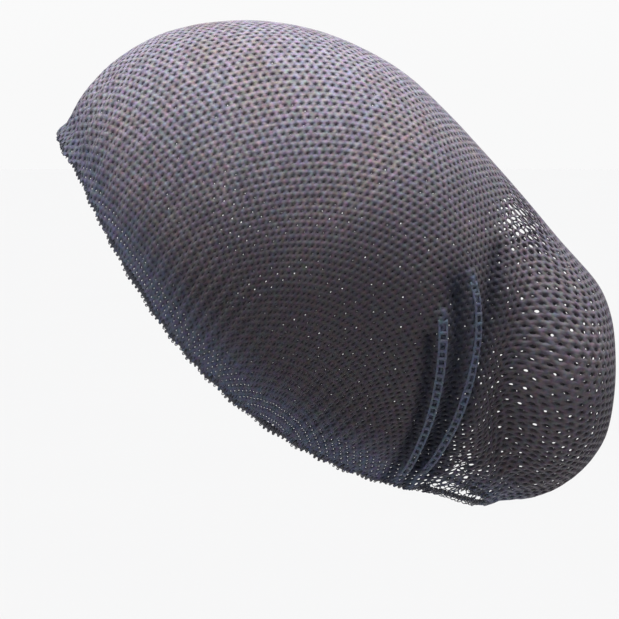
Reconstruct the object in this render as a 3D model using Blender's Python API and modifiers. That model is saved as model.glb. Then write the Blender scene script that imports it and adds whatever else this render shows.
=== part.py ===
"""A hairnet in its worn form: a soft bag of knitted net with a pouch behind, held by an elastic edge.

Metres, +Z up. The front is -Y, and the left side is +X. The origin is inside the crown, on the middle plane
at the highest point. The net is one thin wall, open below. It is lofted through a fan of sections, each a
closed ring from a point on the top of the net to a point at its low back edge or under the pouch.
"""

import math
from collections import namedtuple

import bmesh
import bpy
from mathutils import Vector

# Sizes that can be set by themselves
MAIN_LENGTH = 0.220  # from the front edge to the dent before the pouch
POUCH_LENGTH = 0.055  # from that dent to the back of the pouch
NET_HEIGHT = 0.240  # from the crown down to the low back edge
MAIN_WIDTH = 0.184  # where the bag is widest
POUCH_WIDTH = 0.132
CROWN_BACK = 0.088  # from the front edge to the highest point, which is the origin
EDGE_DIP = 0.036  # how far the edge dips at the side below a straight line from front to low back
WALL = 0.0012  # the knitted net
BAND_WIDTH = 0.0045  # the elastic edge
BAND_THICKNESS = 0.0020
SEAM_GAP = 0.0003  # between the net and its elastic edge
RIB_HEIGHT = 0.0024  # a gathered fold near the low back edge
RIB_WIDTH = 0.0040  # from its crest to where it has fallen to a third
DENT_DEPTH = 0.0050  # the valley before the pouch
DENT_WIDTH = 0.0075

FULLNESS = 0.84  # below 1, the front and the low back are broader than an ellipse
DIP_POWER = 2.5  # above 2, the edge runs straighter from the front before it dips
LOW_TAPER = 0.18  # the share of its width that a section loses towards its low end
FOLDS_FROM = 0.25  # the share of MAIN_WIDTH from the middle plane where the folds have their whole height
POINTS_AROUND = 56
BAND_SIDES = 8
PATH_STEPS = 16  # samples along a fold's curve

# One row for each section. top and low give a point in the middle plane. back is 0 at the front edge, 1 at
# the dent and 2 at the back of the pouch, and drop is 0 at the crown and 1 at the low back edge. main and
# pouch are shares of half MAIN_WIDTH and half POUCH_WIDTH, dip is a share of EDGE_DIP, and tuck pulls the
# lower side forward by a share of EDGE_DIP. steps is the number of rings from this row to the next.
Section = namedtuple("Section", "top_back top_drop low_back low_drop main pouch dip tuck steps")
SECTIONS = (
    Section(0.008, 0.227, 0.977, 0.996, 0.86, 0.00, 1.00, 0.25, 2),
    Section(0.036, 0.169, 0.983, 0.998, 0.91, 0.00, 0.87, 0.00, 2),
    Section(0.109, 0.090, 0.989, 0.999, 0.95, 0.00, 0.64, 0.00, 2),
    Section(0.230, 0.025, 0.995, 1.000, 0.98, 0.00, 0.40, 0.05, 2),
    Section(0.400, 0.000, 1.001, 1.000, 1.00, 0.00, 0.17, 0.15, 3),
    Section(0.582, 0.023, 1.022, 1.000, 1.00, 0.00, 0.03, 0.30, 3),
    Section(0.752, 0.096, 1.045, 1.000, 0.96, 0.00, 0.00, 0.45, 3),
    Section(0.866, 0.188, 1.068, 1.000, 0.86, 0.00, 0.00, 0.55, 3),
    Section(0.945, 0.265, 1.091, 1.000, 0.72, 0.00, 0.00, 0.60, 3),
    Section(1.009, 0.323, 1.120, 1.000, 0.32, 0.46, 0.00, 0.50, 2),
    Section(1.255, 0.388, 1.209, 0.998, 0.00, 0.95, 0.00, 0.35, 2),
    Section(1.509, 0.458, 1.355, 0.990, 0.00, 1.00, 0.00, 0.15, 2),
    Section(1.718, 0.510, 1.555, 0.965, 0.00, 0.97, 0.00, 0.00, 2),
    Section(1.882, 0.556, 1.764, 0.925, 0.00, 0.86, 0.00, 0.00, 1),
    Section(1.964, 0.608, 1.918, 0.875, 0.00, 0.66, 0.00, 0.00, 1),
    Section(1.995, 0.677, 1.982, 0.800, 0.00, 0.34, 0.00, 0.00, 1),
    Section(2.000, 0.738, 2.000, 0.740, 0.00, 0.00, 0.00, 0.00, 0),
)

# One row for each fold, seen from the side: its start, a point that pulls its curve, and its end, with rib a
# share of RIB_HEIGHT and dent a share of DENT_DEPTH. wide is a share of RIB_WIDTH or DENT_WIDTH.
Fold = namedtuple("Fold", "name back drop mid_back mid_drop end_back end_drop rib dent wide")
FOLDS = (
    Fold("front rib", 0.866, 0.588, 0.885, 0.800, 0.759, 0.948, 1.00, 0.00, 0.90),
    Fold("back rib", 0.925, 0.515, 0.970, 0.780, 0.795, 0.944, 1.00, 0.00, 1.00),
    Fold("groove between", 0.893, 0.560, 0.928, 0.790, 0.782, 0.940, -0.60, 0.00, 0.70),
    Fold("pleat", 0.777, 0.735, 0.775, 0.880, 0.741, 0.921, 0.50, 0.00, 1.30),
    Fold("front hem pleat", 0.700, 0.850, 0.695, 0.900, 0.686, 0.940, 0.35, 0.00, 1.20),
    Fold("back hem pleat", 0.655, 0.850, 0.648, 0.890, 0.640, 0.925, 0.30, 0.00, 1.20),
    Fold("valley", 1.000, 0.458, 0.975, 0.760, 0.830, 0.940, 0.00, 1.00, 1.00),
    Fold("tie dent", 0.989, 0.515, 0.988, 0.525, 0.984, 0.540, 0.00, 0.70, 1.00),
)


def clear_scene():
    for old in list(bpy.data.objects):
        bpy.data.objects.remove(old, do_unlink=True)


def side_place(back, drop):
    """(y, z) of a place seen from the side."""
    along_main = min(back, 1.0) * MAIN_LENGTH
    along_pouch = max(back - 1.0, 0.0) * POUCH_LENGTH
    return along_main + along_pouch - CROWN_BACK, WALL - drop * NET_HEIGHT


def smooth_value(before, start, end, after, share):
    """A Catmull-Rom curve through four values, read between the middle two."""
    pull = end - before
    push = after - start
    bend = 2 * before - 5 * start + 4 * end - after
    twist = 3 * (start - end) + after - before
    return start + 0.5 * share * (pull + share * (bend + share * twist))


def section_values(place):
    """The table's values at a place between its rows, as a list of lengths."""
    lengths = []
    for row in SECTIONS:
        top_y, top_z = side_place(row.top_back, row.top_drop)
        low_y, low_z = side_place(row.low_back, row.low_drop)
        half_width = (row.main * MAIN_WIDTH + row.pouch * POUCH_WIDTH) / 2
        lengths.append((top_y, top_z, low_y, low_z, half_width, row.dip * EDGE_DIP, row.tuck * EDGE_DIP))
    last = len(lengths) - 1
    index = min(int(place), last - 1)
    picks = [lengths[min(max(index + step, 0), last)] for step in (-1, 0, 1, 2)]
    return [smooth_value(*four, place - index) for four in zip(*picks)]


def fold_path(fold):
    """Points along a fold's curve, seen from the side."""
    start = Vector(side_place(fold.back, fold.drop))
    middle = Vector(side_place(fold.mid_back, fold.mid_drop))
    end = Vector(side_place(fold.end_back, fold.end_drop))
    shares = [step / PATH_STEPS for step in range(PATH_STEPS + 1)]
    return [start * (1 - t) ** 2 + middle * 2 * t * (1 - t) + end * t * t for t in shares]


PATHS = [(fold, fold_path(fold)) for fold in FOLDS]


def fold_lift(y, z):
    """How far the folds push the net sideways at a place seen from the side."""
    here = Vector((y, z))
    lift = 0.0
    for fold, path in PATHS:
        near = min((here - point).length for point in path)
        reach = fold.wide * (DENT_WIDTH if fold.dent else RIB_WIDTH)
        lift += (fold.rib * RIB_HEIGHT - fold.dent * DENT_DEPTH) * math.exp(-((near / reach) ** 2))
    return lift


def net_point(place, angle):
    """A point on the outer side of the net. angle is 0 at the top, and a quarter turn on the left side."""
    top_y, top_z, low_y, low_z, half_width, dip, tuck = section_values(place)
    down = (1 - math.cos(angle)) / 2
    across = math.sin(angle)
    span_y, span_z = low_y - top_y, low_z - top_z
    span = math.hypot(span_y, span_z) or 1.0
    forward = dip * abs(across) ** DIP_POWER + tuck * (across * down) ** 2
    y = top_y + span_y * down + forward * span_z / span
    z = top_z + span_z * down - forward * span_y / span
    x = half_width * math.copysign(abs(across) ** FULLNESS, across) * (1 - LOW_TAPER * down**3)
    on_side = min(abs(x) / (FOLDS_FROM * MAIN_WIDTH), 1.0) ** 2 * min(place, 1.0)
    x += math.copysign(on_side * fold_lift(y, z), across)
    return Vector((x, y, z))


def ring_places():
    """The places of the rings along the table, without the last row, which is a single point."""
    places = []
    for index, row in enumerate(SECTIONS):
        places += [index + step / row.steps for step in range(row.steps)]
    return places


def ring_angles():
    return [math.tau * step / POINTS_AROUND for step in range(POINTS_AROUND)]


def plain_material(name, colour, roughness):
    material = bpy.data.materials.new(name)
    material.use_nodes = True
    shader = material.node_tree.nodes["Principled BSDF"]
    shader.inputs["Base Color"].default_value = (*colour, 1)
    shader.inputs["Roughness"].default_value = roughness
    shader.inputs["Metallic"].default_value = 0.0
    return material


def add_object(name, mesh, material, collection):
    mesh.materials.append(material)
    part = bpy.data.objects.new(name, mesh)
    collection.objects.link(part)
    return part


def lofted_mesh(name, rings, closed):
    """A mesh through rings of as many points each. A ring of one point closes an end."""
    build = bmesh.new()
    loops = [[build.verts.new(point) for point in ring] for ring in rings]
    pairs = list(zip(loops, loops[1:]))
    if closed:
        pairs.append((loops[-1], loops[0]))
    for first, second in pairs:
        count = len(first)
        for step in range(count):
            after = (step + 1) % count
            if len(second) == 1:
                build.faces.new((first[step], first[after], second[0]))
            else:
                build.faces.new((first[step], first[after], second[after], second[step]))
    mesh = bpy.data.meshes.new(name)
    build.to_mesh(mesh)
    build.free()
    mesh.shade_smooth()
    return mesh


def build_net(collection):
    """The knitted bag: the outer side is lofted, and the wall is added inwards."""
    rings = [[net_point(place, angle) for angle in ring_angles()] for place in ring_places()]
    rings.append([net_point(len(SECTIONS) - 1, 0.0)])
    mesh = lofted_mesh("net_bag", rings, closed=False)
    material = plain_material("black knitted net", (0.035, 0.033, 0.042), 0.6)
    net = add_object("net_bag", mesh, material, collection)
    wall = net.modifiers.new("Wall", "SOLIDIFY")
    wall.thickness = WALL
    wall.offset = -1
    return net


def build_edge(collection):
    """The elastic edge: a flat rounded band that carries on from the net's wall, a seam gap away."""
    rings = []
    angles = ring_angles()
    first_place, next_place = ring_places()[:2]
    for index, angle in enumerate(angles):
        edge = net_point(first_place, angle)
        beside = net_point(first_place, angles[(index + 1) % len(angles)])
        outwards = (edge - net_point(next_place, angle)).normalized()
        tangent = (beside - net_point(first_place, angles[index - 1])).normalized()
        outwards = (outwards - tangent * outwards.dot(tangent)).normalized()
        face = outwards.cross(tangent)
        centre = edge - face * (WALL / 2) + outwards * (SEAM_GAP + BAND_WIDTH / 2)
        ring = []
        for side in range(BAND_SIDES):
            turn = -math.tau * (side + 0.5) / BAND_SIDES
            reach = outwards * (BAND_WIDTH / 2 * math.cos(turn))
            ring.append(centre + reach + face * (BAND_THICKNESS / 2 * math.sin(turn)))
        rings.append(ring)
    mesh = lofted_mesh("elastic_edge", rings, closed=True)
    material = plain_material("black elastic", (0.020, 0.021, 0.030), 0.7)
    return add_object("elastic_edge", mesh, material, collection)


def main():
    clear_scene()
    collection = bpy.data.collections.new("hairnet")
    bpy.context.scene.collection.children.link(collection)
    build_net(collection)
    build_edge(collection)


main()
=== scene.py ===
# %% [markdown]
# A hairnet in knitted nylon, in its worn form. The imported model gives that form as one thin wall, open below,
# with an elastic edge. This lesson covers the form with a real net of strands and holes, and dresses the edge
# with its overlocked thread. Everything is in metres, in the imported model's own frame.

# %% Load the fixed frame
import math

import bpy
import bmesh
import numpy as np
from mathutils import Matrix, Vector
from mathutils.bvhtree import BVHTree


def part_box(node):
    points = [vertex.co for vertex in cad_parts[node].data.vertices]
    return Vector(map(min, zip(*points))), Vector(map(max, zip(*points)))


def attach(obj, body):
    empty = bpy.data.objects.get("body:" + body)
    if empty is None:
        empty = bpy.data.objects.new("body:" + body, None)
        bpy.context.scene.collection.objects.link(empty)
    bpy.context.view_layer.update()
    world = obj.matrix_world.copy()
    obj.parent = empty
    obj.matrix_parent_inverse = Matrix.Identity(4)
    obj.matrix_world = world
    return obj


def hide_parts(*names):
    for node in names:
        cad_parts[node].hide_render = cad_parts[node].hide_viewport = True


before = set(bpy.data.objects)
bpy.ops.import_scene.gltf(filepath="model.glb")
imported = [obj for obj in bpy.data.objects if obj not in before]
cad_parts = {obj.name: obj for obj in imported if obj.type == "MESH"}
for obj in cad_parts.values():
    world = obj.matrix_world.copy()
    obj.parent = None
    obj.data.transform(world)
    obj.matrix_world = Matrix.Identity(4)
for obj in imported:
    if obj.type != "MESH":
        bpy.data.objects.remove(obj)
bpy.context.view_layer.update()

net_low, net_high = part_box("net_bag")
print("net form", [round(high - low, 4) for low, high in zip(net_low, net_high)])

# %% [markdown]
# The photograph is a profile from the left, taken a little above the middle of the net. A long lens far away
# keeps the proportions of a profile, so the camera stands 1.6 m off and shows 310 mm of width.

# %% Camera at the photograph's angle
VIEW_MIDDLE = Vector((0.0, 0.03475, -0.1435))  # what lies in the middle of the picture
VIEW_DISTANCE = 1.60
VIEW_RISE = math.radians(4.0)
VIEW_WIDTH = 0.3095  # how much the picture shows across at that distance
SENSOR = 36.0

camera_data = bpy.data.cameras.new("profile_camera")
camera = bpy.data.objects.new("profile_camera", camera_data)
bpy.context.scene.collection.objects.link(camera)
towards_camera = Vector((math.cos(VIEW_RISE), 0.0, math.sin(VIEW_RISE)))
camera.location = VIEW_MIDDLE + towards_camera * VIEW_DISTANCE
camera.rotation_euler = towards_camera.to_track_quat("Z", "Y").to_euler()
camera_data.sensor_width = SENSOR
camera_data.lens = SENSOR * VIEW_DISTANCE / VIEW_WIDTH
camera_data.clip_end = 100.0
bpy.context.scene.camera = camera
print("lens", round(camera_data.lens, 1), "mm")

# %% [markdown]
# Shader maths reads best as expressions. This small class wraps a socket, so that `1 - mask` adds a Math
# node. Any other node comes from `node`, which takes its type, its settings and what its sockets get.

# %% A wrapper for shader sockets


class Wire:
    def __init__(self, tree, socket):
        self.tree, self.socket = tree, socket

    def maths(self, operation, *values):
        made = self.tree.nodes.new("ShaderNodeMath")
        made.operation = operation
        for slot, value in zip(made.inputs, values):
            plug(self.tree, slot, value)
        return Wire(self.tree, made.outputs[0])

    def __add__(self, other):
        return self.maths("ADD", self, other)

    def __radd__(self, other):
        return self.maths("ADD", other, self)

    def __sub__(self, other):
        return self.maths("SUBTRACT", self, other)

    def __rsub__(self, other):
        return self.maths("SUBTRACT", other, self)

    def __mul__(self, other):
        return self.maths("MULTIPLY", self, other)

    def __rmul__(self, other):
        return self.maths("MULTIPLY", other, self)

    def between(self, low, high):
        """0 below low and 1 above high, with a soft step between."""
        made = self.tree.nodes.new("ShaderNodeMapRange")
        made.interpolation_type = "SMOOTHSTEP"
        for name, value in (("Value", self), ("From Min", low), ("From Max", high)):
            plug(self.tree, made.inputs[name], value)
        return Wire(self.tree, made.outputs["Result"])


def plug(tree, slot, value):
    if isinstance(value, Wire):
        tree.links.new(value.socket, slot)
    else:
        slot.default_value = value


def node(tree, kind, output, settings=None, **sockets):
    made = tree.nodes.new(kind)
    for name, value in (settings or {}).items():
        setattr(made, name, value)
    for name, value in sockets.items():
        plug(tree, made.inputs[name.replace("_", " ")], value)
    return Wire(tree, made.outputs[output])


def mixed(tree, share, first, second):
    """A colour between two, by share."""
    made = tree.nodes.new("ShaderNodeMix")
    made.data_type = "RGBA"
    plug(tree, made.inputs[0], share)
    plug(tree, made.inputs[6], first)
    plug(tree, made.inputs[7], second)
    return Wire(tree, made.outputs[2])


def new_material(name):
    made = bpy.data.materials.new(name)
    made.use_nodes = True
    return made, made.node_tree, made.node_tree.nodes["Principled BSDF"]


def place_of(tree):
    """The object's own coordinates, whole and split into x, y and z."""
    whole = node(tree, "ShaderNodeTexCoord", "Object")
    split = tree.nodes.new("ShaderNodeSeparateXYZ")
    tree.links.new(whole.socket, split.inputs[0])
    return whole, [Wire(tree, socket) for socket in split.outputs]


# %% [markdown]
# The net is black nylon. Where light falls on the crown the shiny yarn looks dusty mauve, and low on the side
# and in the gathers it is near black with a blue cast. The colour follows the height, partly the yarn's own and
# partly painted light from the lamp above, is lighter again with painted light on top of the pouch, and has
# broad patches from a noise. A stretched noise makes the yarn's short pale dashes, which are painted glints.
# Attributes of the mesh add what follows the knit: painted shade deep in a fold, a painted highlight along a
# rib's crest, how near the edge it is, and how much a strand catches light, as painted highlights on its
# corners and painted shade at the rims of its holes.

# %% Knitted nylon
# The crown's colour is partly the yarn's own and partly painted light from the lamp above.
LIT_CROWN_YARN = (0.180, 0.166, 0.206, 1.0)
SIDE_YARN = (0.0275, 0.0235, 0.0290, 1.0)
WARM_YARN = (0.138, 0.104, 0.092, 1.0)
# Painted shade, near black, deep in the folds between the ribs:
FOLD_SHADE = (0.0040, 0.0052, 0.0105, 1.0)
# A painted highlight, bluish, along a rib's crest:
RIB_HIGHLIGHT = (0.050, 0.062, 0.092, 1.0)
EDGE_YARN = (0.050, 0.057, 0.088, 1.0)
# Painted shade at the rims of the holes:
RIM_SHADE = (0.012, 0.011, 0.016, 1.0)
CROWN_LIGHT = (-0.135, -0.005)  # the heights between which the net turns lighter, partly by painted light from above
POUCH_LIGHT = 0.42  # how much painted light the pouch's top gets beside the crown
WARM_SHARE = 0.45
GLINT_DASH_SHARE = 0.45  # how far the yarn is darkened between its pale dashes, which are painted glints
HEM_SHARE = 0.7
RIB_HIGHLIGHT_SHARE = 0.75
TINT_SHARE = 0.38
GLINT_DASH_SCALE = (420.0, 230.0, 640.0)  # painted glint dashes to a metre along x, y and z

nylon, tree, shader = new_material("knitted_nylon")
whole, (_, y, z) = place_of(tree)
patches = node(tree, "ShaderNodeTexNoise", "Fac", Vector=whole, Scale=26.0, Detail=3.0)
fibres = node(tree, "ShaderNodeTexNoise", "Fac", Vector=whole, Scale=1500.0, Detail=2.0)
tints = node(tree, "ShaderNodeTexNoise", "Color", Vector=whole, Scale=420.0, Detail=1.0)
# Painted highlights: short pale dashes where the yarn glints.
stretched = node(tree, "ShaderNodeMapping", "Vector", Vector=whole, Scale=GLINT_DASH_SCALE)
glint_dashes = node(tree, "ShaderNodeTexNoise", "Fac", Vector=stretched, Scale=1.0, Detail=1.0)
fold_shade = node(tree, "ShaderNodeAttribute", "Fac", {"attribute_name": "fold_shade"})
rib_highlight = node(tree, "ShaderNodeAttribute", "Fac", {"attribute_name": "rib_highlight"})
hem = node(tree, "ShaderNodeAttribute", "Fac", {"attribute_name": "hem"})
glint = node(tree, "ShaderNodeAttribute", "Fac", {"attribute_name": "glint"})
# Painted light: the net is lighter on the crown and on top of the pouch, where the lamp above falls.
on_crown = (z + 0.030 * (patches - 0.5)).between(*CROWN_LIGHT)
on_pouch = y.between(0.118, 0.160) * z.between(-0.245, -0.085)
lit = on_crown + (1 - on_crown) * on_pouch * POUCH_LIGHT
colour = mixed(tree, lit, SIDE_YARN, LIT_CROWN_YARN)
colour = mixed(tree, patches.between(0.45, 0.62) * lit * WARM_SHARE, colour, WARM_YARN)
# Painted highlight: the yarn is darkened between its pale glinting dashes.
colour = mixed(tree, (1 - glint_dashes.between(0.38, 0.62)) * GLINT_DASH_SHARE, colour, SIDE_YARN)
colour = mixed(tree, hem * HEM_SHARE, colour, EDGE_YARN)
# Painted shade: near black where the folds shut out the light.
colour = mixed(tree, fold_shade, colour, FOLD_SHADE)
# Painted highlight: bluish along the crests of the ribs and all over their ladders.
colour = mixed(tree, rib_highlight * RIB_HIGHLIGHT_SHARE, colour, RIB_HIGHLIGHT)
# Painted highlight and shade: corners that catch more light keep their colour, while the rims of the holes are
# painted darker, so the strands look round.
colour = mixed(tree, 0.80 - 1.05 * glint, colour, RIM_SHADE)
soft_tint = tree.nodes.new("ShaderNodeMix")
soft_tint.data_type = "RGBA"
soft_tint.blend_type = "OVERLAY"
plug(tree, soft_tint.inputs[0], TINT_SHARE)
plug(tree, soft_tint.inputs[6], colour)
plug(tree, soft_tint.inputs[7], tints)
plug(tree, shader.inputs["Base Color"], Wire(tree, soft_tint.outputs[2]))
plug(tree, shader.inputs["Roughness"], 0.42 + 0.22 * fibres)
shader.inputs["Specular IOR Level"].default_value = 0.08
shader.inputs["Sheen Weight"].default_value = 0.04
shader.inputs["Sheen Roughness"].default_value = 0.45
shader.inputs["Sheen Tint"].default_value = (0.85, 0.85, 1.0, 1.0)
relief = node(tree, "ShaderNodeBump", "Normal", Height=fibres, Strength=0.45, Distance=0.0003)
plug(tree, shader.inputs["Normal"], relief)

# %% [markdown]
# The edge is elastic covered with the same yarn, packed much tighter, so it is darker and bluer than the net.
# Higher up it is painted lighter, as light from the lamp above falls there.

# %% Overlocked elastic
elastic, tree, shader = new_material("covered_elastic")
whole, (_, _, z) = place_of(tree)
strands = node(tree, "ShaderNodeTexNoise", "Fac", Vector=whole, Scale=900.0, Detail=3.0)
patches = node(tree, "ShaderNodeTexNoise", "Fac", Vector=whole, Scale=60.0, Detail=2.0)
# Painted light: the elastic is lighter the higher it runs, where light from above falls.
height = (z + 0.05 * (patches - 0.5)).between(-0.20, -0.04)
colour = mixed(tree, height * 0.8, (0.012, 0.012, 0.018, 1.0), (0.040, 0.044, 0.066, 1.0))
colour = mixed(tree, strands.between(0.45, 0.75) * 0.4, colour, (0.060, 0.062, 0.085, 1.0))
plug(tree, shader.inputs["Base Color"], colour)
plug(tree, shader.inputs["Roughness"], 0.45 + 0.25 * strands)
shader.inputs["Specular IOR Level"].default_value = 0.25
shader.inputs["Sheen Weight"].default_value = 0.10
relief = node(tree, "ShaderNodeBump", "Normal", Height=strands, Strength=0.5, Distance=0.0003)
plug(tree, shader.inputs["Normal"], relief)

# %% [markdown]
# A net is knitted round and drawn in by its edge, so it is a disc drawn into a bag. Seen from a point inside
# the form, the disc's middle lies up and back, straight opposite the opening. Rays from that point along each
# meridian find the wall. That gives a smooth grid of places: azimuth by distance from the middle of the disc.
# The rays stop where the wall ends.

# %% Rays find the wall
INNER_POINT = Vector((0.0, 0.050, -0.124))
POLE = Vector((0.0, 0.654, 0.756)).normalized()  # through the middle of the disc
FRONT = Vector((0.0, -0.756, 0.654)).normalized()  # from there towards the front edge
LEFT = Vector((1.0, 0.0, 0.0))
MERIDIANS = 256
STEPS_OUT = 160
WALL = 0.0012
FIRST_ANGLE = 0.5  # every ray this near the pole meets the wall
ANGLE_STEP = 0.02
HALVINGS = 14

form = bmesh.new()
form.from_mesh(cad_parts["net_bag"].data)
bmesh.ops.remove_doubles(form, verts=form.verts, dist=1e-6)
wall_tree = BVHTree.FromBMesh(form)
form.free()


def wall_at(azimuth, polar):
    """The middle of the wall in one direction, or None past the edge."""
    across = FRONT * math.cos(azimuth) + LEFT * math.sin(azimuth)
    ray = POLE * math.cos(polar) + across * math.sin(polar)
    place, normal, _, _ = wall_tree.ray_cast(INNER_POINT, ray)
    if place is None:
        return None
    return place + ray * (WALL / 2 / max(abs(normal.dot(ray)), 0.4))


def last_polar(azimuth):
    """The largest angle from the pole at which a ray still meets the wall."""
    inside = FIRST_ANGLE
    while inside < math.pi and wall_at(azimuth, inside + ANGLE_STEP) is not None:
        inside += ANGLE_STEP
    outside = inside + ANGLE_STEP
    for _ in range(HALVINGS):
        middle = (inside + outside) / 2
        if wall_at(azimuth, middle) is None:
            outside = middle
        else:
            inside = middle
    return inside


azimuths = [math.tau * step / MERIDIANS for step in range(MERIDIANS)]
ends = [last_polar(azimuth) for azimuth in azimuths]
wall_grid = np.array(
    [
        [wall_at(azimuth, end * step / STEPS_OUT) for step in range(STEPS_OUT + 1)]
        for azimuth, end in zip(azimuths, ends)
    ]
)
print("wall grid", wall_grid.shape, "edge angles", round(min(ends), 2), round(max(ends), 2))

# %% [markdown]
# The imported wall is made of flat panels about 10 mm across. Averaging each place with its neighbours, a few
# times, rounds them off. The edge keeps its line. Each meridian is then divided evenly by length.

# %% Smooth the grid and divide it evenly
EVEN_ROUNDS = 12
EVEN_ACROSS = 4  # one round in so many also evens across the meridians

for number in range(EVEN_ROUNDS):
    beside = (np.roll(wall_grid, 1, 0) + np.roll(wall_grid, -1, 0)) / 2
    if number % EVEN_ACROSS == 0:
        wall_grid = (wall_grid + beside) / 2
    inner = (wall_grid[:, 2:] + wall_grid[:, :-2]) / 2
    wall_grid[:, 1:-1] = (wall_grid[:, 1:-1] + inner) / 2
    wall_grid[:, 0] = wall_grid[:, 1].mean(0)

lengths = np.linalg.norm(np.diff(wall_grid, axis=1), axis=2).cumsum(1)
lengths = np.concatenate([np.zeros((MERIDIANS, 1)), lengths], axis=1)
shares = np.linspace(0, 1, STEPS_OUT + 1)
for index in range(MERIDIANS):
    along = lengths[index] / lengths[index, -1]
    for axis in range(3):
        wall_grid[index, :, axis] = np.interp(shares, along, wall_grid[index, :, axis])
print("meridians", round(lengths[:, -1].min(), 4), "to", round(lengths[:, -1].max(), 4), "m")

# %% [markdown]
# A place on the flat disc is read off the grid with a smooth cubic in both directions. The normal comes from
# the same grid, as the cross product of its two slopes.

# %% Read a place and its normal off the grid
slope_round = np.roll(wall_grid, -1, 0) - np.roll(wall_grid, 1, 0)
slope_out = np.gradient(wall_grid, axis=1)
normal_grid = np.cross(slope_out, slope_round)
normal_grid[:, 0] = 0
normal_grid[:, 0] = normal_grid[:, 1].mean(0)
normal_grid /= np.linalg.norm(normal_grid, axis=2, keepdims=True) + 1e-12


def unit(rows):
    return rows / np.linalg.norm(rows, axis=1, keepdims=True)


def cubic_weights(share):
    square, cube = share**2, share**3
    return (
        (-share + 2 * square - cube) / 2,
        (2 - 5 * square + 3 * cube) / 2,
        (share + 4 * square - 3 * cube) / 2,
        (cube - square) / 2,
    )


def read_grid(grid, azimuth, out):
    """Values of a grid at arrays of azimuths and shares of the way out, which may pass 1 a little."""
    column = (azimuth / math.tau) % 1.0 * MERIDIANS
    row = np.clip(out, 0, 1.03) * STEPS_OUT
    column_low = np.floor(column).astype(int)
    row_low = np.minimum(np.floor(row).astype(int), STEPS_OUT - 1)
    across = cubic_weights(column - column_low)
    down = cubic_weights(np.minimum(row - row_low, 1.0))
    total = 0
    for i, weight_across in enumerate(across):
        for j, weight_down in enumerate(down):
            pick = grid[(column_low + i - 1) % MERIDIANS, np.clip(row_low + j - 1, 0, STEPS_OUT)]
            total = total + pick * (weight_across * weight_down)[:, None]
    past = np.maximum(row - STEPS_OUT, 0)[:, None]
    last = grid[column_low % MERIDIANS, STEPS_OUT] - grid[column_low % MERIDIANS, STEPS_OUT - 1]
    return total + past * last


outward_sign = np.sign((normal_grid[:, 10:] * (wall_grid[:, 10:] - np.array(INNER_POINT))).sum(2).mean())
normal_grid *= outward_sign
print("normals point outwards with sign", outward_sign)

# %% [markdown]
# The smooth wall is also made into a tree for rays, because what lies on the net has to be placed on the
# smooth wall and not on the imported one, or it stands off.

# %% The smooth wall for rays
around = STEPS_OUT + 1
quads = []
for index in range(MERIDIANS):
    here, beyond = index * around, (index + 1) % MERIDIANS * around
    for step in range(1, STEPS_OUT):
        quads.append((here + step, beyond + step, beyond + step + 1, here + step + 1))
smooth_tree = BVHTree.FromPolygons(wall_grid.reshape(-1, 3).tolist(), quads)
print(len(quads), "panels of smooth wall")

# %% [markdown]
# Low on the side the spare net is gathered into two tight ribs and a few softer pleats that run down to the
# edge at the back, and all round the edge it is puckered by the elastic. Each fold is a curve seen from the
# side, with a width and a height. Between the ribs no light gets in, so the folds also carry painted shade,
# which darkens the colour of what lies near them. A fold fades before it reaches the edge. The pucker is a
# ripple that grows towards the edge.

# %% Folds and puckers
FOLDS = (
    # start, pull and end seen from the side as (y, z), half width, height
    ((0.0975, -0.139), (0.101, -0.190), (0.074, -0.226), 0.0022, 0.0024),
    ((0.1110, -0.121), (0.121, -0.186), (0.083, -0.226), 0.0023, 0.0026),
    ((0.1040, -0.131), (0.111, -0.188), (0.078, -0.226), 0.0024, -0.0024),
    ((0.1260, -0.110), (0.116, -0.180), (0.088, -0.228), 0.0034, -0.0024),
    ((0.0910, -0.150), (0.093, -0.195), (0.068, -0.224), 0.0024, -0.0018),
    ((0.0830, -0.175), (0.082, -0.210), (0.075, -0.219), 0.0034, 0.0012),
    ((0.0690, -0.195), (0.067, -0.212), (0.063, -0.225), 0.0030, 0.0009),
    ((0.0560, -0.198), (0.055, -0.210), (0.052, -0.221), 0.0028, 0.0008),
)
RIBS = FOLDS[:2]
SHADE_PATHS = (
    # the same kind of curve, with how far its painted shade reaches and how dark it is
    ((0.1040, -0.125), (0.111, -0.188), (0.078, -0.230), 0.0066, 0.97),
    ((0.1250, -0.112), (0.117, -0.182), (0.088, -0.230), 0.0056, 0.80),
    ((0.0915, -0.152), (0.093, -0.195), (0.069, -0.226), 0.0036, 0.90),
)
PUCKERS = 88
PUCKER_HEIGHT = 0.0009
EDGE_LOSS = 0.35  # the share of its height that a pucker keeps at the edge itself
CREST_WIDTH = 0.0017
FOOT_LOSS = 0.85  # the share of its height that a fold loses before it reaches the edge
CURVE_STEPS = 48


def soft_step(value, low, high):
    share = np.clip((value - low) / (high - low), 0, 1)
    return share * share * (3 - 2 * share)


def on_curve(start, pull, end, t):
    return np.array(start) * (1 - t) ** 2 + np.array(pull) * 2 * t * (1 - t) + np.array(end) * t * t


def curve_distance(place, start, pull, end):
    """How far places lie from a curve, all seen from the side."""
    near = np.full(len(place), 1.0)
    for t in np.linspace(0, 1, CURVE_STEPS):
        spot = on_curve(start, pull, end, t)
        near = np.minimum(near, np.linalg.norm(place[:, 1:] - spot, axis=1))
    return near


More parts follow.
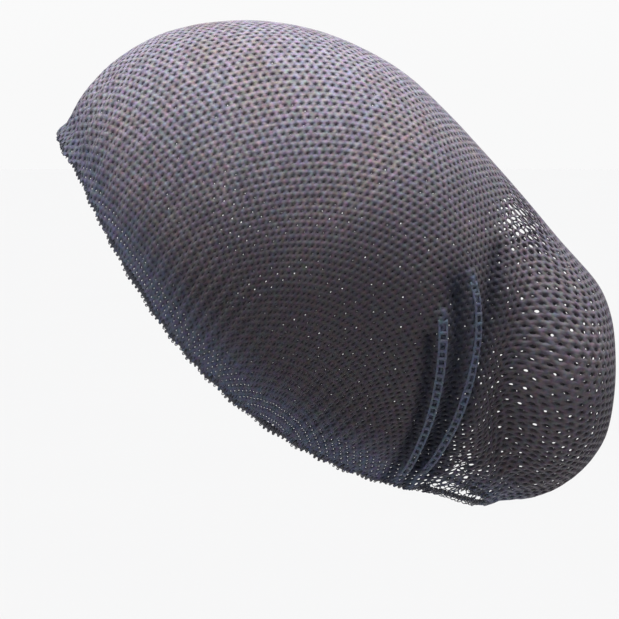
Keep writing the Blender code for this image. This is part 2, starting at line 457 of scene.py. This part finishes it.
def folds_at(place):
    """How far folds push the net out, how much painted shade they lay on it, and how near a rib's crest is for
    its painted highlight, at places.
    """
    on_side = soft_step(np.abs(place[:, 0]), 0.012, 0.040)
    push = np.zeros(len(place))
    for start, pull, end, width, height in FOLDS:
        push += height * np.exp(-((curve_distance(place, start, pull, end) / width) ** 2))
    # Where the painted highlight of a rib's crest goes.
    crest = np.zeros(len(place))
    for start, pull, end, width, height in RIBS:
        crest = np.maximum(crest, np.exp(-((curve_distance(place, start, pull, end) / CREST_WIDTH) ** 2)))
    # Painted shade near the ribs, darkest in the grooves.
    dark = np.zeros(len(place))
    for start, pull, end, reach, shade in SHADE_PATHS:
        dark = np.maximum(dark, shade * np.exp(-((curve_distance(place, start, pull, end) / reach) ** 2)))
    return push * on_side, dark * on_side, crest * on_side


def puckers_at(azimuth, out):
    wander = 2.2 * np.sin(5 * azimuth + 0.7) + 1.4 * np.sin(11 * azimuth + 2.0)
    ripple = np.sin(PUCKERS * azimuth + wander)
    deeper = soft_step(out, 0.72, 0.96) * (1 - (1 - EDGE_LOSS) * soft_step(out, 0.965, 1.0))
    return PUCKER_HEIGHT * deeper * ripple * (0.75 + 0.25 * np.sin(7 * azimuth))


# %% [markdown]
# The knit is a honeycomb: a six-sided cell with a round hole. On the flat disc the cells lie in rows that run
# from front to back. Neighbours share their corners, which are raised to a ridge on both sides, while
# the rim of each hole stays in the middle of the wall. So each strand is a smooth bar with a lens section.
# One cell is 36 triangles. The two halves of the net, left and right, are separate meshes of one net. The
# rows are turned a little on the disc, so that the far half, seen through the near one, does not line up with
# it. Where the net hangs loose, some cells are left out, as if they had run together into larger openings.

# %% The honeycomb on the flat disc
DISC = 0.205  # the radius of the net lying flat and unstretched
CELL = 0.0038  # from one hole to the next along a row
HOLE = 0.35  # the hole's share of the cell's width
HEM_REACH = 0.0022  # how far past the wall's end the last cells may have their middles, over the elastic
HEM_LIFT = 0.0010  # how far the net stands out where it lies over the elastic
LACE_LOSS = 0.52  # the share of cells that have run together where the net hangs loose
RIDGE = 0.00040  # half the thickness of a strand
WOBBLE = 0.05  # how far a corner strays, as a share of the cell
ROW_TURN = math.radians(15)  # how far the rows are turned from the middle line


# a soft oval's middle and reach, as (y, z)
LOOSE_HEM = ((0.103, -0.233), (0.021, 0.0110))  # where the net hangs loose at the low back edge
OPEN_PATCH = ((0.110, -0.2140), (0.006, 0.006))  # the small open patch above it
BRIDGE = ((0.140, -0.0965), (0.011, 0.013))  # where the net spans the gap above the pouch
HOLE_RANGE = (0.13, 0.86)


def cell_centres():
    rows = int(DISC / (CELL * math.sqrt(0.75))) + 1
    columns = int(DISC / CELL) + 1
    spots = []
    for row in range(-rows, rows + 1):
        for column in range(-columns, columns + 1):
            along, across = (column + 0.5 * (row % 2)) * CELL, row * CELL * math.sqrt(0.75)
            turned = complex(along, across) * complex(math.cos(ROW_TURN), math.sin(ROW_TURN))
            spot = (turned.real, turned.imag)
            if math.hypot(*spot) < DISC + HEM_REACH:
                spots.append(spot)
    return np.array(spots)


def spot_mask(place, middle, reach):
    """1 at the middle of a soft oval seen from the side, and 0 away from it."""
    back, up = (place[:, 1] - middle[0]) / reach[0], (place[:, 2] - middle[1]) / reach[1]
    return np.exp(-(back**2 + up**2))


def looseness(place):
    return spot_mask(place, *LOOSE_HEM)


def hole_share(place, out, dark, random):
    """The hole's share of its cell: small on the crown and in gathers, large in the lace and bridge."""
    patch, bridge = spot_mask(place, *OPEN_PATCH), spot_mask(place, *BRIDGE)
    gather = soft_step(out, 0.82, 1.0)
    main = 1 - soft_step(place[:, 1] - 0.45 * place[:, 2], 0.165, 0.205)
    crown = soft_step(place[:, 2], -0.130, -0.050)
    share = HOLE - 0.12 * main - 0.12 * gather - 0.10 * dark - 0.07 * crown
    share = share + 0.66 * looseness(place) + 0.50 * patch + 0.75 * bridge
    return np.clip(share * (1 + 0.07 * random), *HOLE_RANGE)


def on_net(flat):
    """The place, normal, share of the way out, shade and rib crest for points of the flat disc."""
    azimuth = np.arctan2(flat[:, 1], flat[:, 0])
    out = np.linalg.norm(flat, axis=1) / DISC
    place = read_grid(wall_grid, azimuth, out)
    normal = unit(read_grid(normal_grid, azimuth, np.minimum(out, 1.0)))
    push, dark, crest = folds_at(place)
    push = push * (1 - FOOT_LOSS * soft_step(out, 0.93, 0.985))
    lift = push + puckers_at(azimuth, out) + HEM_LIFT * soft_step(out, 0.985, 1.0)
    return place + normal * lift[:, None], normal, out, dark, crest


centres = cell_centres()
print(len(centres), "cells, of", CELL * 1000, "mm")

# %% [markdown]
# The corners are found for all cells at once, and corners that coincide are made one. Where a half of the net
# ends, short walls close the strands, so each half is a closed mesh.

# %% Knit each half


def knit(name, spots, seed):
    dice = np.random.default_rng(seed)
    run_together = LACE_LOSS * soft_step(looseness(on_net(spots)[0]), 0.35, 0.75)
    spots = spots[dice.random(len(spots)) > run_together]
    count = len(spots)
    turns = ROW_TURN + np.radians(30 + 60 * np.arange(6))
    corner_steps = np.stack([np.cos(turns), np.sin(turns)], 1) * CELL / math.sqrt(3)
    corners = (spots[:, None] + corner_steps[None]).reshape(-1, 2)
    _, first, index = np.unique(
        np.round(corners / (CELL * 0.05)).astype(int), axis=0, return_index=True, return_inverse=True
    )
    index = index.reshape(count, 6)
    corners = corners[first]
    edge_free = np.linalg.norm(corners, axis=1) < DISC * 0.97
    stray = np.sin(corners @ np.array([[911.0, 1471.0], [1733.0, 677.0]])) * WOBBLE * CELL
    corners = corners + stray * edge_free[:, None]
    place, normal, out, dark, crest = on_net(corners)
    thick = RIDGE * (1 - 0.4 * looseness(place))[:, None]
    front, back = place + normal * thick, place - normal * thick

    middle, _, middle_out, middle_dark, _ = on_net(spots)
    share = hole_share(middle, middle_out, middle_dark, dice.standard_normal(count))
    ring_turns = ROW_TURN + np.radians(30 * np.arange(12))
    ring_steps = np.stack([np.cos(ring_turns), np.sin(ring_turns)], 1)
    ring = (spots[:, None] + ring_steps[None] * (share * CELL / 2)[:, None, None]).reshape(-1, 2)
    ring_place, _, ring_out, ring_dark, ring_crest = on_net(ring)

    base_front, base_back, base_ring = 0, len(corners), 2 * len(corners)
    rings = base_ring + np.arange(count * 12).reshape(count, 12)
    faces = []
    edges = []
    for k in range(6):
        a, b = index[:, k], index[:, (k + 1) % 6]
        near_a, near_m, near_b = rings[:, 2 * k + 1], rings[:, (2 * k + 2) % 12], rings[:, (2 * k + 3) % 12]
        for shift, turned in ((base_front, False), (base_back, True)):
            far_a, far_b = a + shift, b + shift
            for triangle in ((far_a, far_b, near_m), (far_a, near_m, near_a), (far_b, near_b, near_m)):
                picked = np.stack(triangle, 1)
                faces.append(picked[:, ::-1] if turned else picked)
        edges.append(np.stack([a, b], 1))
    faces = np.concatenate(faces)
    edges = np.concatenate(edges)
    _, where, times = np.unique(np.sort(edges, 1), axis=0, return_index=True, return_counts=True)
    rims = edges[where[times == 1]]
    start = base_ring + count * 12
    wall_points = np.concatenate([front[rims[:, 0]], front[rims[:, 1]], back[rims[:, 0]], back[rims[:, 1]]])
    n = len(rims)
    af, bf, ab, bb = (start + part * n + np.arange(n) for part in range(4))
    faces = np.concatenate([faces, np.stack([bf, af, ab], 1), np.stack([bf, ab, bb], 1)])

    points = np.concatenate([front, back, ring_place, wall_points])
    # Painted highlight: corners catch light by different amounts, and the rims of the holes get a little
    # painted shade.
    shine = 0.80 + 0.22 * np.sin(corners @ np.array([5333.0, 3571.0]))

    def whole_mesh(at_corners, at_rings):
        ends = np.tile(np.concatenate([at_corners[rims[:, 0]], at_corners[rims[:, 1]]]), 2)
        return np.concatenate([at_corners, at_corners, at_rings, ends])

    # The mesh carries the painted shade of the folds.
    fold_shade = whole_mesh(dark, ring_dark)
    # The mesh carries the painted highlight of the ribs' crests.
    rib_highlight = whole_mesh(crest, ring_crest)
    hem = soft_step(whole_mesh(out, ring_out), 0.88, 1.0)
    glint = whole_mesh(shine, np.full(count * 12, 0.60))

    mesh = bpy.data.meshes.new(name)
    mesh.vertices.add(len(points))
    mesh.vertices.foreach_set("co", points.astype(np.float32).ravel())
    mesh.loops.add(faces.size)
    mesh.loops.foreach_set("vertex_index", faces.astype(np.int32).ravel())
    mesh.polygons.add(len(faces))
    mesh.polygons.foreach_set("loop_start", np.arange(0, faces.size, 3, dtype=np.int32))
    mesh.update(calc_edges=True)
    mesh.validate()
    mesh.shade_smooth()
    for title, values in (("fold_shade", fold_shade), ("rib_highlight", rib_highlight), ("hem", hem), ("glint", glint)):
        layer = mesh.attributes.new(title, "FLOAT", "POINT")
        layer.data.foreach_set("value", values.astype(np.float32))
    mesh.materials.append(nylon)
    piece = bpy.data.objects.new(name, mesh)
    bpy.context.scene.collection.objects.link(piece)
    knitted = count * (CELL**2 * math.sqrt(0.75)) - float((math.pi * (share * CELL / 2) ** 2).sum())
    print(name, count, "cells,", len(faces), "triangles,", round(knitted, 4), "m2 of knit")
    return piece, knitted


left_spots = centres[centres[:, 1] >= -1e-6]
right_spots = centres[centres[:, 1] < -1e-6]
net_left, left_knit = knit("net_left", left_spots, 3)
net_right, right_knit = knit("net_right", right_spots, 4)

# %% [markdown]
# In the two tight ribs one row of cells stands on edge, so each rib looks like a ladder: two rails with a row
# of holes between them. A cell of the net is as wide as the rib, so the ladder is modelled apart, on top of
# the fold. Rays from the side find where it lies on the smooth wall. Rails and rungs are six-sided tubes.

# %% Ladders on the ribs
LADDER_HALF = 0.00175  # from the rib's middle to a rail
LADDER_WIRE = 0.00060
LADDER_SIT = 0.0007  # above the fold's crest, and as far below it at both ends
RUNG_PITCH = 0.0043
RUNG_WIDER = 1.5  # a rung's thickness beside a rail's
LADDER_ROUNDS = 24
LADDER_ENDS = (0.03, 0.90)  # where a ladder starts and stops, as shares of its rib
ODD_WAY = np.array([0.3, 0.9, 0.31])  # a direction that no ladder runs in
LADDER_STEPS = 72
TUBE_SIDES = 6


def side_wall(spot, hand):
    """Where a line along X meets that side's wall, and the way out there, or None past the edge."""
    from_side = Vector((0.2 * hand, spot[0], spot[1]))
    place, normal, _, _ = smooth_tree.ray_cast(from_side, Vector((-hand, 0.0, 0.0)))
    if place is None or place.x * hand < 0.01:
        return None
    return np.array(place), np.array(normal if normal.x * hand > 0 else -normal)


def turn_outwards(mesh):
    clean = bmesh.new()
    clean.from_mesh(mesh)
    bmesh.ops.recalc_face_normals(clean, faces=clean.faces)
    clean.to_mesh(mesh)
    clean.free()


def open_tube(path, radius):
    """Points and faces of a tube along a path, closed at both ends."""
    run = unit(np.gradient(path, axis=0))
    side = unit(np.cross(run, ODD_WAY))
    up = np.cross(run, side)
    turns = math.tau * np.arange(TUBE_SIDES) / TUBE_SIDES
    round_it = side[:, None] * np.cos(turns)[:, None] + up[:, None] * np.sin(turns)[:, None]
    rings = path[:, None] + radius * round_it
    first = np.arange(len(path) * TUBE_SIDES).reshape(len(path), TUBE_SIDES)
    a, b = first[:-1], first[1:]
    quads = np.stack([a, np.roll(a, -1, 1), np.roll(b, -1, 1), b], 2).reshape(-1, 4).tolist()
    return rings.reshape(-1, 3), quads + [first[0][::-1].tolist(), first[-1].tolist()]


def ladder(name, hand):
    points, faces = [], []

    def add(path, radius):
        start = sum(len(part) for part in points)
        tube_points, tube_faces = open_tube(np.array(path), radius)
        points.append(tube_points)
        faces.extend([[index + start for index in face] for face in tube_faces])

    for start, pull, end, _, _ in RIBS:
        spots = [on_curve(start, pull, end, t) for t in np.linspace(*LADDER_ENDS, LADDER_STEPS)]
        found = [hit for hit in (side_wall(spot, hand) for spot in spots) if hit is not None]
        shares = np.linspace(0, 1, len(found))
        middle = np.array([place for place, _ in found])
        out = np.array([normal for _, normal in found])
        for _ in range(LADDER_ROUNDS):
            middle[1:-1] = (middle[:-2] + 2 * middle[1:-1] + middle[2:]) / 4
            out[1:-1] = (out[:-2] + 2 * out[1:-1] + out[2:]) / 4
        out = unit(out)
        shown = soft_step(shares, 0, 0.10) * (1 - soft_step(shares, 0.92, 1.0))
        middle = middle + out * (folds_at(middle)[0] + LADDER_SIT * (2 * shown - 1))[:, None]
        across = unit(np.cross(out, np.gradient(middle, axis=0)))
        narrow = (1 - 0.25 * shares[:, None]) * LADDER_HALF
        add(middle + across * narrow, LADDER_WIRE)
        add(middle - across * narrow, LADDER_WIRE)
        length = np.linalg.norm(np.diff(middle, axis=0), axis=1).sum()
        for share in np.linspace(0.02, 0.98, round(length / RUNG_PITCH)):
            index = round(share * (len(found) - 1))
            reach = across[index] * narrow[index]
            sag = out[index] * LADDER_WIRE / 2
            add([middle[index] - reach, middle[index] - sag, middle[index] + reach], LADDER_WIRE * RUNG_WIDER)
    mesh = bpy.data.meshes.new(name)
    mesh.from_pydata(np.concatenate(points).tolist(), [], faces)
    turn_outwards(mesh)
    mesh.shade_smooth()
    # The ladders take no painted shade of the folds, the painted highlight of a rib's crest all over, and a
    # strong painted glint.
    for title, value in (("fold_shade", 0.0), ("rib_highlight", 1.0), ("hem", 0.0), ("glint", 0.72)):
        layer = mesh.attributes.new(title, "FLOAT", "POINT")
        layer.data.foreach_set("value", np.full(len(mesh.vertices), value, dtype=np.float32))
    mesh.materials.append(nylon)
    piece = bpy.data.objects.new(name, mesh)
    bpy.context.scene.collection.objects.link(piece)
    print(name, len(mesh.polygons), "faces")
    return piece


ladder_left = ladder("rib_ladder_left", 1)
ladder_right = ladder("rib_ladder_right", -1)

# %% [markdown]
# The elastic edge runs round the opening, straight on from the net. Its middle line is read off the end of
# the grid, with shallow scallops between the stitches. Where the net hangs loose the line rides up over it.

# %% The line of the edge
BAND_WIDTH = 0.0045
BAND_THICKNESS = 0.0020
SEAM_GAP = 0.0003
BAND_POINTS = 720
SCALLOPS = 46
SCALLOP_DEPTH = 0.0005

band_azimuth = np.linspace(0, math.tau, BAND_POINTS, endpoint=False)
edge_line = read_grid(wall_grid, band_azimuth, np.ones(BAND_POINTS))
before_edge = read_grid(wall_grid, band_azimuth, np.full(BAND_POINTS, 0.975))
band_face = read_grid(normal_grid, band_azimuth, np.full(BAND_POINTS, 0.985))
band_out = edge_line - before_edge


def evened(rows, rounds):
    """Rows round a closed loop, averaged with their neighbours."""
    for _ in range(rounds):
        rows = (np.roll(rows, 1, 0) + 2 * rows + np.roll(rows, -1, 0)) / 4
    return rows


band_run = unit(np.roll(edge_line, -1, 0) - np.roll(edge_line, 1, 0))
band_out = unit(evened(unit(band_out), 30))
band_out = unit(band_out - band_run * (band_out * band_run).sum(1)[:, None])
band_face = unit(np.cross(band_run, band_out))
band_face *= np.sign((band_face * (edge_line - np.array(INNER_POINT))).sum(1).mean())
length_round = np.linalg.norm(np.diff(edge_line, axis=0, append=edge_line[:1]), axis=1)
edge_length = float(length_round.sum())
run_share = np.concatenate([[0], length_round.cumsum()[:-1]]) / edge_length
scallop = SCALLOP_DEPTH * np.sin(math.tau * SCALLOPS * run_share + 1.5 * np.sin(9 * math.tau * run_share))
drawn_up = 1 - 0.85 * looseness(edge_line)  # where the net hangs loose the elastic rides up over its end
band_line = edge_line + band_out * (SEAM_GAP + (BAND_WIDTH / 2 + scallop) * drawn_up)[:, None]
print("elastic edge is", round(edge_length, 3), "m round")

# %% [markdown]
# The core and its two overlock threads follow the same line. The core is a tube with an oval section, built
# ring by ring. One thread winds round it to the left and one to the right, so they cross like an overlocked
# hem. Both are tubes along a winding path.

# %% Core, overlock threads and loops
THREAD_PITCH = 0.0026
THREAD_RADIUS = 0.00030
CORE_SHARE = 0.72  # the core's share of the band, under its threads
STEPS_A_TURN = 12


def at_share(rows, share):
    """Rows of the closed edge line, read at shares of its length."""
    padded_share = np.concatenate([run_share, [1.0]])
    padded_rows = np.concatenate([rows, rows[:1]])
    return np.stack([np.interp(share % 1.0, padded_share, padded_rows[:, axis]) for axis in range(3)], 1)


def tube_mesh(name, line, across, up, radius_across, radius_up, sides, material):
    """A closed loop of tube: line is its middle, and across and up are its section's two directions."""
    count = len(line)
    turns = -math.tau * np.arange(sides) / sides
    rings = line[:, None] + across[:, None] * (radius_across[:, None] * np.cos(turns))[..., None]
    rings = rings + up[:, None] * (radius_up[:, None] * np.sin(turns))[..., None]
    first = np.arange(count * sides).reshape(count, sides)
    second = np.roll(first, -1, 0)
    quads = np.stack([first, np.roll(first, -1, 1), np.roll(second, -1, 1), second], 2).reshape(-1, 4)
    mesh = bpy.data.meshes.new(name)
    mesh.from_pydata(rings.reshape(-1, 3).tolist(), [], quads.tolist())
    mesh.shade_smooth()
    mesh.materials.append(material)
    piece = bpy.data.objects.new(name, mesh)
    bpy.context.scene.collection.objects.link(piece)
    turn_outwards(mesh)
    return piece


dice = np.random.default_rng(7)
lumps = 1 + 0.10 * evened(dice.standard_normal((BAND_POINTS, 1)), 2)[:, 0]
lumps = lumps * (1 - 0.65 * looseness(band_line))  # the elastic is drawn thin where the net hangs loose
band_core = tube_mesh(
    "elastic_core",
    band_line,
    band_out,
    band_face,
    CORE_SHARE * BAND_WIDTH / 2 * lumps,
    CORE_SHARE * BAND_THICKNESS / 2 * lumps,
    8,
    elastic,
)


def overlock(name, direction, start):
    turns = round(edge_length / THREAD_PITCH)
    steps = turns * STEPS_A_TURN
    share = np.arange(steps) / steps
    line, out, face = (at_share(rows, share) for rows in (band_line, band_out, band_face))
    wind = direction * math.tau * turns * share + start
    reach = BAND_WIDTH / 2 * (0.86 + 0.12 * np.sin(31 * math.tau * share + start))
    reach = reach * (1 - 0.35 * looseness(line))
    path = line + out * (reach * np.cos(wind))[:, None] + face * (BAND_THICKNESS / 2 * np.sin(wind))[:, None]
    run = unit(np.roll(path, -1, 0) - np.roll(path, 1, 0))
    side = unit(np.cross(run, face + out * 0.3))
    radius = np.full(steps, THREAD_RADIUS)
    return tube_mesh(name, path, side, np.cross(run, side), radius, radius, 5, elastic)


thread_left = overlock("overlock_left", 1, 0.0)
thread_right = overlock("overlock_right", -1, 1.1)

# %% [markdown]
# The thread leaves a small loop at each stitch along the outer edge, which gives the edge its beaded outline.
# At the low back the loops hang large and open like lace. One loop is a torus, stretched in edit mode. Each
# copy is widened as it needs to be, keeps its wire's thickness, and is turned to the edge where it stands. A
# few more lie across the larger openings of the lace.

# %% Small loops along the edge
LOOP_PITCH = 0.0026
LOOP_RADIUS = 0.00045
LOOP_WIRE = 0.00022
LACE_WIDER = 2.4  # how much wider a loop is in the lace than elsewhere
LACE_LOOPS = 64  # loops that lie across the openings of the lace
LACE_LEAST, LACE_SPREAD = 1.0, 1.6  # how much such a loop is widened, at least and at random
LACE_TILT = 0.35

bpy.ops.object.select_all(action="DESELECT")
bpy.ops.mesh.primitive_torus_add(
    major_radius=LOOP_RADIUS, minor_radius=LOOP_WIRE, major_segments=10, minor_segments=5
)
one_loop = bpy.context.object
bpy.ops.object.mode_set(mode="EDIT")
bpy.ops.mesh.select_all(action="SELECT")
bpy.ops.transform.resize(value=(1.2, 1.0, 1.0))
bpy.ops.object.mode_set(mode="OBJECT")
loop_points = np.array([vertex.co for vertex in one_loop.data.vertices])
loop_faces = np.array([list(face.vertices) for face in one_loop.data.polygons])
bpy.data.objects.remove(one_loop, do_unlink=True)
loop_rays = loop_points * np.array([1.0, 1.0, 0.0])
loop_rays = loop_rays / np.linalg.norm(loop_rays, axis=1, keepdims=True) * LOOP_RADIUS

loops = round(edge_length / LOOP_PITCH)
loop_share = (np.arange(loops) + 0.35 * dice.random(loops)) / loops
spots, outs, faces_up = (at_share(rows, loop_share) for rows in (band_line, band_out, band_face))
lace = looseness(spots)
runs = np.cross(outs, faces_up)
all_points, all_faces = [], []
for index in range(loops):
    wider = 0.35 * dice.random() + LACE_WIDER * lace[index]
    tilt = 0.5 * dice.standard_normal()
    up = faces_up[index] * math.cos(tilt) + runs[index] * math.sin(tilt)
    sideways = runs[index] * math.cos(tilt) - faces_up[index] * math.sin(tilt)
    sit = BAND_WIDTH / 2 * (0.90 - 0.35 * lace[index])
    turned = (loop_points + loop_rays * wider) @ np.stack([outs[index], sideways, up])
    all_faces.append(loop_faces + index * len(loop_points))
    all_points.append(spots[index] + outs[index] * sit + turned)
lace_places, lace_normals, _, _, _ = on_net(centres)
in_lace = np.flatnonzero(looseness(lace_places) > 0.40)
for index in dice.choice(in_lace, min(LACE_LOOPS, len(in_lace)), replace=False):
    up = lace_normals[index] + LACE_TILT * dice.standard_normal(3)
    up /= np.linalg.norm(up)
    first = np.cross(up, (1.0, 0.2, 0.1))
    first /= np.linalg.norm(first)
    ring = loop_points + loop_rays * (LACE_LEAST + LACE_SPREAD * dice.random())
    turned = ring @ np.stack([first, np.cross(up, first), up])
    all_faces.append(loop_faces + len(all_points) * len(loop_points))
    all_points.append(lace_places[index] + turned)
print(len(all_points) - loops, "loops of lace")
loop_mesh = bpy.data.meshes.new("edge_loops")
loop_mesh.from_pydata(np.concatenate(all_points).tolist(), [], np.concatenate(all_faces).tolist())
loop_mesh.shade_smooth()
loop_mesh.materials.append(elastic)
edge_loops = bpy.data.objects.new("edge_loops", loop_mesh)
bpy.context.scene.collection.objects.link(edge_loops)
print(loops, "loops,", len(loop_mesh.polygons), "faces")

# %% [markdown]
# Each piece moves with the one body, and the imported node it stands for is hidden. The net is a disc of
# 410 mm, cut here into two halves. The knit area worked out for each half counts the strands and not the holes.

# %% Ties to the imported model
for piece in (net_left, net_right, ladder_left, ladder_right):
    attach(piece, "root")
    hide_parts("net_bag")
for piece in (band_core, thread_left, thread_right, edge_loops):
    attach(piece, "root")
    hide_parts("elastic_edge")

# %% [markdown]
# The studio is a pale floor far below, since the net is held up, and a white room. The room is brighter
# overhead than at the horizon, so the floor is as bright as the horizon and the line between them is faint.
# A broad lamp above lights the crown, as in the photograph. Its beam is kept narrow, so that it misses the
# floor that the camera sees.

# %% Floor, lamp and white room
FLOOR_DROP = 0.30
HORIZON_WHITE = 0.947
ZENITH_WHITE = 1.30
FLOOR_RADIUS = 18.0
LAMP_SIZE = 0.8
LAMP_ENERGY = 5.5
LAMP_SPREAD = math.radians(60)
LAMP_PLACE = Vector((0.12, 0.08, 0.80))
LAMP_AIM = Vector((0.0, 0.04, -0.05))
floor_material, tree, shader = new_material("pale_floor")
whole, _ = place_of(tree)
grain = node(tree, "ShaderNodeTexNoise", "Fac", Vector=whole, Scale=3.0, Detail=2.0)
pale = mixed(tree, grain, (0.786, 0.786, 0.788, 1.0), (0.792, 0.792, 0.794, 1.0))
plug(tree, shader.inputs["Base Color"], pale)
shader.inputs["Roughness"].default_value = 1.0
shader.inputs["Specular IOR Level"].default_value = 0.0
bpy.ops.object.select_all(action="DESELECT")
bpy.ops.mesh.primitive_circle_add(
    vertices=64, radius=FLOOR_RADIUS, fill_type="NGON", location=(0, 0, net_low.z - FLOOR_DROP)
)
floor = bpy.context.object
floor.name = "floor"
floor.data.materials.append(floor_material)

lamp_data = bpy.data.lights.new("top_softbox", "AREA")
lamp_data.size = LAMP_SIZE
lamp_data.energy = LAMP_ENERGY
lamp_data.spread = LAMP_SPREAD
lamp_data.color = (1.0, 0.985, 0.975)
lamp = bpy.data.objects.new("top_softbox", lamp_data)
lamp.location = LAMP_PLACE
lamp.rotation_euler = (LAMP_PLACE - LAMP_AIM).to_track_quat("Z", "Y").to_euler()
bpy.context.scene.collection.objects.link(lamp)

world = bpy.data.worlds.new("white_room")
world.use_nodes = True
sky = world.node_tree
direction = node(sky, "ShaderNodeTexCoord", "Generated")
split = sky.nodes.new("ShaderNodeSeparateXYZ")
sky.links.new(direction.socket, split.inputs[0])
rise = Wire(sky, split.outputs[2]).maths("MAXIMUM", Wire(sky, split.outputs[2]), 0.0)
background = sky.nodes["Background"]
background.inputs["Color"].default_value = (0.998, 0.999, 1.0, 1.0)
plug(sky, background.inputs["Strength"], HORIZON_WHITE + (ZENITH_WHITE - HORIZON_WHITE) * rise)
bpy.context.scene.world = world
bpy.context.scene.view_settings.view_transform = "Standard"
